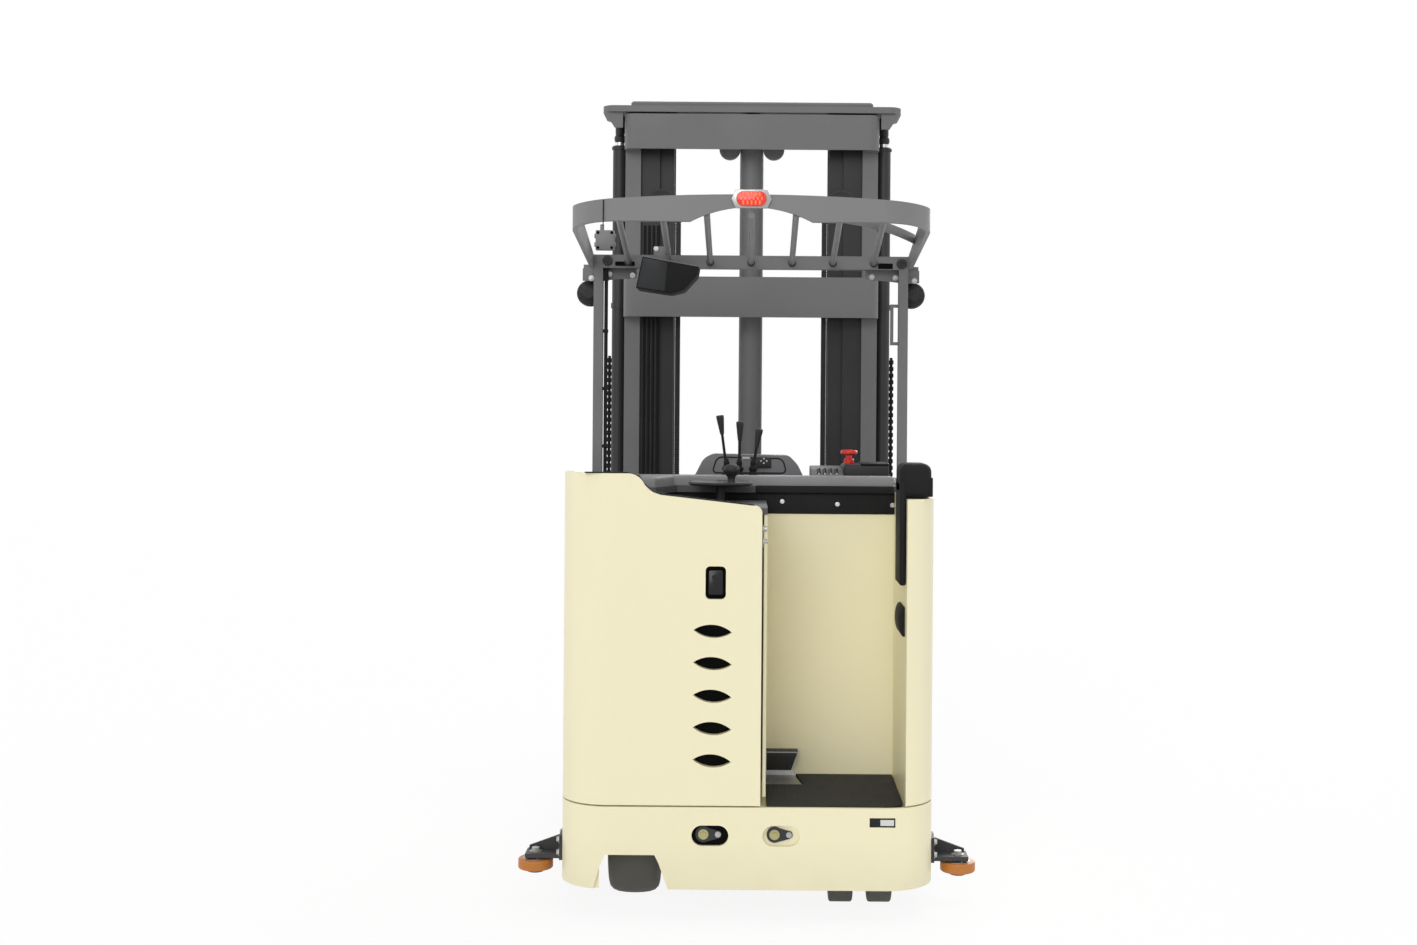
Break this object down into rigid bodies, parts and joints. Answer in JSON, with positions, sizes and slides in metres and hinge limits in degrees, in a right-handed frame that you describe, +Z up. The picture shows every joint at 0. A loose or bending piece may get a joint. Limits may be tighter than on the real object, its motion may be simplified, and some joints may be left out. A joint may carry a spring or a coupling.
{
  "type": "three-way narrow-aisle forklift, driver standing, with telescopic mast and turret fork head",
  "caption": "Battery stacker for narrow aisles: rear driver's bay under a barred guard, tall telescopic mast, side-shifting swivel head with forks.",
  "frame": {"origin": "on the floor under the middle of the whole machine's box", "axes": "+Z up, +Y towards the forks, +X to the driver's right"},
  "size_m": [1.444, 3.6244, 2.758],
  "materials": {
    "cream_paint": "satin",
    "grey_steel": "satin",
    "dark_steel": "satin",
    "bright_steel": "polished",
    "black_plastic": "matte",
    "grey_plastic": "matte",
    "red_plastic": "gloss",
    "red_lens": "gloss",
    "black_rubber": "matte",
    "black_pad": "matte",
    "wheel_rubber": "matte",
    "guide_urethane": "satin"
  },
  "bodies": {
    "chassis": {"chassis_frame": "grey_steel", "lower_body": "cream_paint", "body_fittings": "dark_steel", "right_wall": "cream_paint", "bay_walls": "cream_paint", "battery_cover": "cream_paint", "console": "grey_plastic", "control_pods": "black_plastic", "e_stop": "red_plastic", "control_levers": "black_plastic", "platform_mat": "black_rubber", "pedal": "bright_steel", "driver_pads": "black_pad", "guard_roof": "grey_steel", "guard_frame": "grey_steel", "work_lamps": "black_plastic", "tail_lamp": "red_lens", "monitor_box": "black_plastic", "motor_block": "dark_steel", "guide_brackets": "dark_steel", "mast_outer": "grey_steel", "lift_cylinders": "dark_steel"},
    "door": {"rear_door": "cream_paint"},
    "wheel_control": {"steering_wheel": "black_plastic"},
    "drive_unit": {"drive_fork": "dark_steel"},
    "drive_tyre": {"drive_wheel": "wheel_rubber"},
    "caster": {"caster_fork": "dark_steel"},
    "caster_pair": {"caster_wheels": "wheel_rubber"},
    "load_left": {"load_wheel_left": "wheel_rubber"},
    "load_right": {"load_wheel_right": "wheel_rubber"},
    "guide_rl": {"guide_roller_rear_left": "guide_urethane"},
    "guide_rr": {"guide_roller_rear_right": "guide_urethane"},
    "guide_fl": {"guide_roller_front_left": "guide_urethane"},
    "guide_fr": {"guide_roller_front_right": "guide_urethane"},
    "middle_stage": {"mast_middle": "grey_steel", "lift_rods": "bright_steel", "chain_sheaves": "dark_steel", "hose_bundle": "black_rubber"},
    "inner_stage": {"mast_inner": "grey_steel", "centre_cylinder": "grey_steel"},
    "lift_carriage": {"carriage": "dark_steel", "traverse_frame": "dark_steel"},
    "traverse_slide": {"head_slide": "dark_steel"},
    "turret": {"swivel_head": "dark_steel", "forks": "dark_steel"}
  },
  "joints": [
    {"name": "mast_middle_lift", "type": "slide", "parent": "chassis", "child": "middle_stage", "axis": [0, 0, 1], "range_m": [0, 1.9]},
    {"name": "mast_inner_lift", "type": "slide", "parent": "middle_stage", "child": "inner_stage", "axis": [0, 0, 1], "range_m": [0, 1.9]},
    {"name": "carriage_lift", "type": "slide", "parent": "inner_stage", "child": "lift_carriage", "axis": [0, 0, 1], "range_m": [0, 1.5]},
    {"name": "head_traverse", "type": "slide", "parent": "lift_carriage", "child": "traverse_slide", "axis": [1, 0, 0], "range_m": [-0.4, 0.4]},
    {"name": "head_swivel", "type": "hinge", "parent": "traverse_slide", "child": "turret", "pos_m": [0, 0.55985, 0.6], "axis": [0, 0, 1], "range_deg": [-90, 90]},
    {"name": "drive_steer", "type": "hinge", "parent": "chassis", "child": "drive_unit", "pos_m": [-0.358, -1.48115, 0.392], "axis": [0, 0, 1], "range_deg": [-90, 90]},
    {"name": "drive_roll", "type": "hinge", "parent": "drive_unit", "child": "drive_tyre", "pos_m": [-0.358, -1.48115, 0.17], "axis": [1, 0, 0], "continuous": true},
    {"name": "caster_swivel", "type": "hinge", "parent": "chassis", "child": "caster", "pos_m": [0.357, -1.52215, 0.25], "axis": [0, 0, 1], "continuous": true},
    {"name": "caster_roll", "type": "hinge", "parent": "caster", "child": "caster_pair", "pos_m": [0.357, -1.57415, 0.09], "axis": [1, 0, 0], "continuous": true},
    {"name": "load_roll_left", "type": "hinge", "parent": "chassis", "child": "load_left", "pos_m": [-0.552, 0.08285, 0.175], "axis": [1, 0, 0], "continuous": true},
    {"name": "load_roll_right", "type": "hinge", "parent": "chassis", "child": "load_right", "pos_m": [0.552, 0.08285, 0.175], "axis": [1, 0, 0], "continuous": true},
    {"name": "guide_spin_rl", "type": "hinge", "parent": "chassis", "child": "guide_rl", "pos_m": [-0.667, -1.59715, 0.12], "axis": [0, 0, 1], "continuous": true},
    {"name": "guide_spin_rr", "type": "hinge", "parent": "chassis", "child": "guide_rr", "pos_m": [0.667, -1.59715, 0.12], "axis": [0, 0, 1], "continuous": true},
    {"name": "guide_spin_fl", "type": "hinge", "parent": "chassis", "child": "guide_fl", "pos_m": [-0.667, 0.22285, 0.12], "axis": [0, 0, 1], "continuous": true},
    {"name": "guide_spin_fr", "type": "hinge", "parent": "chassis", "child": "guide_fr", "pos_m": [0.667, 0.22285, 0.12], "axis": [0, 0, 1], "continuous": true},
    {"name": "door_hinge_turn", "type": "hinge", "parent": "chassis", "child": "door", "pos_m": [-0.562, -1.62815, 0.8], "axis": [0, 0, -1], "range_deg": [0, 95]},
    {"name": "steering_turn", "type": "hinge", "parent": "chassis", "child": "wheel_control", "pos_m": [-0.094, -1.45215, 1.304], "axis": [0, 0, 1], "continuous": true}
  ],
  "couplings": [
    {"joint": "mast_inner_lift", "follows": "mast_middle_lift", "ratio": 1}
  ]
}
